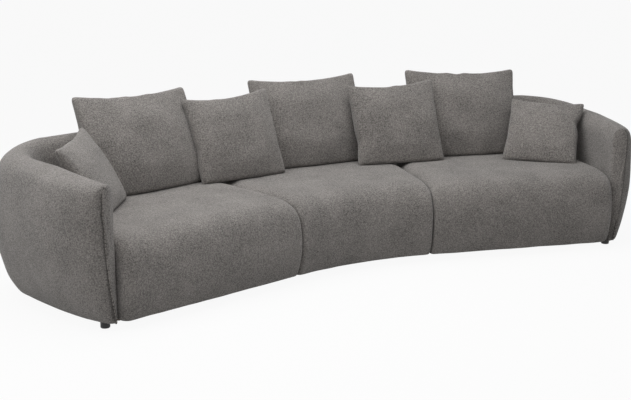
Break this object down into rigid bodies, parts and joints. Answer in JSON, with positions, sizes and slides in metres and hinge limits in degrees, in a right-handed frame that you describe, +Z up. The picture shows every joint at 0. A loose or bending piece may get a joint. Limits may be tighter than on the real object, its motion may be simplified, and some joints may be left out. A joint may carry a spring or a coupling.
{
  "type": "curved sofa",
  "caption": "Long, low, curved modular sofa with padded seats, a wrap-round shell of arms and back, and loose back and scatter cushions, for sitting and lounging.",
  "frame": {"origin": "middle of the bounding box on the floor, under the feet", "axes": "+X to the right as seen from the front, +Y to the back, +Z up"},
  "size_m": [3.4076, 1.2839, 0.8704],
  "materials": {
    "upholstery": "napped chenille",
    "seam_flange": "napped chenille",
    "foam": "open-cell foam",
    "felt": "needled felt",
    "filling": "fibre filling",
    "frame_wood": "sawn",
    "plywood": "sanded",
    "hardboard": "smooth",
    "dust_cloth": "non-woven",
    "spring_steel": "drawn",
    "zinc_steel": "zinc plated",
    "foot_plastic": "matte"
  },
  "bodies": {
    "sofa": {"centre_back_panel": "hardboard", "centre_dust_cover": "dust_cloth", "centre_front_rail": "frame_wood", "centre_rear_rail": "frame_wood", "centre_seat_cover": "upholstery", "centre_seat_foam": "foam", "centre_seat_springs": "spring_steel", "centre_shell_padding": "upholstery", "centre_shell_posts": "frame_wood", "centre_shell_rails": "plywood", "centre_side_rails": "frame_wood", "centre_spring_pad": "felt", "feet": "foot_plastic", "foot_screws": "zinc_steel", "left_arm_flange": "seam_flange", "left_arm_panel": "hardboard", "left_back_panel": "hardboard", "left_dust_cover": "dust_cloth", "left_front_rail": "frame_wood", "left_rear_rail": "frame_wood", "left_seat_cover": "upholstery", "left_seat_foam": "foam", "left_seat_springs": "spring_steel", "left_shell_padding": "upholstery", "left_shell_posts": "frame_wood", "left_shell_rails": "plywood", "left_side_rails": "frame_wood", "left_spring_pad": "felt", "link_plates": "zinc_steel", "link_screws": "zinc_steel", "right_arm_flange": "seam_flange", "right_arm_panel": "hardboard", "right_back_panel": "hardboard", "right_dust_cover": "dust_cloth", "right_front_rail": "frame_wood", "right_rear_rail": "frame_wood", "right_seat_cover": "upholstery", "right_seat_foam": "foam", "right_seat_springs": "spring_steel", "right_shell_padding": "upholstery", "right_shell_posts": "frame_wood", "right_shell_rails": "plywood", "right_side_rails": "frame_wood", "right_spring_pad": "felt", "spring_clips": "spring_steel"},
    "centre_back_cushion": {"centre_back_cushion_cover": "upholstery", "centre_back_cushion_filling": "filling"},
    "left_back_cushion": {"left_back_cushion_cover": "upholstery", "left_back_cushion_filling": "filling"},
    "left_corner_cushion": {"left_corner_cushion_cover": "upholstery", "left_corner_cushion_filling": "filling"},
    "left_scatter_cushion": {"left_scatter_cushion_cover": "upholstery", "left_scatter_cushion_filling": "filling"},
    "right_back_cushion": {"right_back_cushion_cover": "upholstery", "right_back_cushion_filling": "filling"},
    "right_corner_cushion": {"right_corner_cushion_cover": "upholstery", "right_corner_cushion_filling": "filling"},
    "right_scatter_cushion": {"right_scatter_cushion_cover": "upholstery", "right_scatter_cushion_filling": "filling"}
  },
  "joints": [
    {"name": "centre_back_cushion_lift", "type": "slide", "parent": "sofa", "child": "centre_back_cushion", "axis": [0, 0.3584, 0.9336], "range_m": [0, 0.45]},
    {"name": "left_back_cushion_lift", "type": "slide", "parent": "sofa", "child": "left_back_cushion", "axis": [0, 0.3584, 0.9336], "range_m": [0, 0.45]},
    {"name": "left_corner_cushion_lift", "type": "slide", "parent": "sofa", "child": "left_corner_cushion", "axis": [0, 0, 1], "range_m": [0, 0.45]},
    {"name": "left_scatter_cushion_lift", "type": "slide", "parent": "sofa", "child": "left_scatter_cushion", "axis": [0, 0.3584, 0.9336], "range_m": [0, 0.45]},
    {"name": "right_back_cushion_lift", "type": "slide", "parent": "sofa", "child": "right_back_cushion", "axis": [0, 0.3584, 0.9336], "range_m": [0, 0.45]},
    {"name": "right_corner_cushion_lift", "type": "slide", "parent": "sofa", "child": "right_corner_cushion", "axis": [0, 0, 1], "range_m": [0, 0.45]},
    {"name": "right_scatter_cushion_lift", "type": "slide", "parent": "sofa", "child": "right_scatter_cushion", "axis": [0, 0.3584, 0.9336], "range_m": [0, 0.45]}
  ]
}
